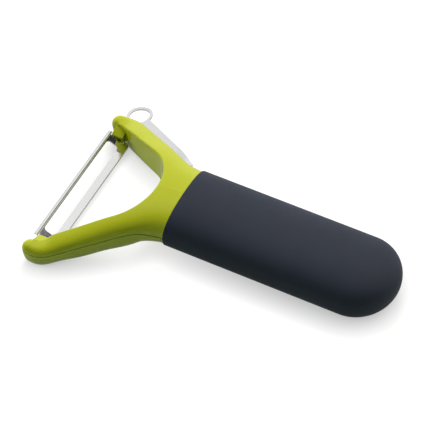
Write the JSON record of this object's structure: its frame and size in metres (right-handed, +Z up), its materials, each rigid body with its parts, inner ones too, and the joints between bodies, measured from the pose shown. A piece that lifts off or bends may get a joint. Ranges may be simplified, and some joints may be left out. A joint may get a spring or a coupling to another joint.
{
  "type": "vegetable peeler",
  "caption": "Y-shaped vegetable peeler: two-part fork with a swivelling slotted steel blade between its tips, a steel eye-remover loop on one arm and a soft round-butted grip.",
  "frame": {"origin": "centre of the small flat land under the grip's butt, on the table plane", "axes": "+X from the head to the butt along the handle, +Y towards the arm with the eye remover, +Z up from the table that the butt and both arm tips rest on"},
  "size_m": [0.1453, 0.0907, 0.0239],
  "materials": {
    "yoke_plastic": "glossy lime green",
    "yoke_lower_plastic": "glossy lime green",
    "grip_rubber": "soft-touch charcoal, satin",
    "screw_steel": "plain",
    "loop_steel": "fine brushed",
    "blade_steel": "ground and polished",
    "bush_plastic": "natural acetal"
  },
  "bodies": {
    "handle": {"yoke_upper": "yoke_plastic", "yoke_lower": "yoke_lower_plastic", "grip_sleeve": "grip_rubber", "tang_screws": "screw_steel", "eye_remover": "loop_steel"},
    "blade": {"blade": "blade_steel", "near_pivot_bush": "bush_plastic", "far_pivot_bush": "bush_plastic"}
  },
  "joints": [
    {"name": "blade_swivel", "type": "hinge", "parent": "handle", "child": "blade", "pos_m": [-0.12496, 0, 0.00547], "axis": [0, -1, 0], "range_deg": [0, 52]}
  ]
}
